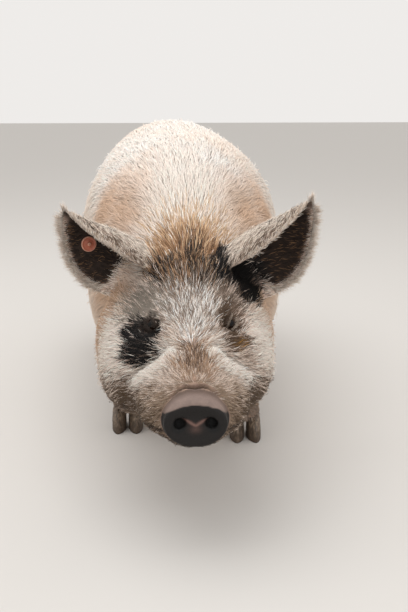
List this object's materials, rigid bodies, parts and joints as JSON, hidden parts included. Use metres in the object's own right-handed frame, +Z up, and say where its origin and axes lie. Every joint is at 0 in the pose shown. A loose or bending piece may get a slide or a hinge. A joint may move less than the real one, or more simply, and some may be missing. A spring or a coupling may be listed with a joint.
{
  "type": "kunekune-type pig",
  "caption": "Life-size still model of a standing cream-haired pig with its head lowered, short dished face, pricked ears and an ear tag, on cloven hooves.",
  "frame": {"origin": "on the floor, under the centre of the animal's box", "axes": "+Z up, the snout points towards -Y, the animal's left side is towards +X"},
  "size_m": [0.436, 1.2636, 0.5869],
  "materials": {
    "coat": "cream hair over pink-grey skin",
    "face_coat": "short cream hair with grey and tan patches",
    "ear_coat": "fine pale hair, dark inside",
    "snout_skin": "wet dark bare skin",
    "eye": "wet, near black",
    "hoof": "worn horn",
    "tag": "faded orange"
  },
  "bodies": {
    "root": {"trunk": "coat", "neck": "coat", "head": "face_coat", "lower_jaw": "face_coat", "snout": "snout_skin", "eye_left": "eye", "eye_right": "eye", "ear_left": "ear_coat", "ear_right": "ear_coat", "ear_tag": "tag", "dewclaw_fore_left_inner": "hoof", "dewclaw_fore_left_outer": "hoof", "leg_fore_left": "coat", "hoof_fore_left": "hoof", "dewclaw_fore_right_inner": "hoof", "dewclaw_fore_right_outer": "hoof", "leg_fore_right": "coat", "hoof_fore_right": "hoof", "dewclaw_hind_left_inner": "hoof", "dewclaw_hind_left_outer": "hoof", "leg_hind_left": "coat", "hoof_hind_left": "hoof", "dewclaw_hind_right_inner": "hoof", "dewclaw_hind_right_outer": "hoof", "leg_hind_right": "coat", "hoof_hind_right": "hoof", "tail_base": "coat", "tail_tip": "coat"}
  },
  "joints": []
}
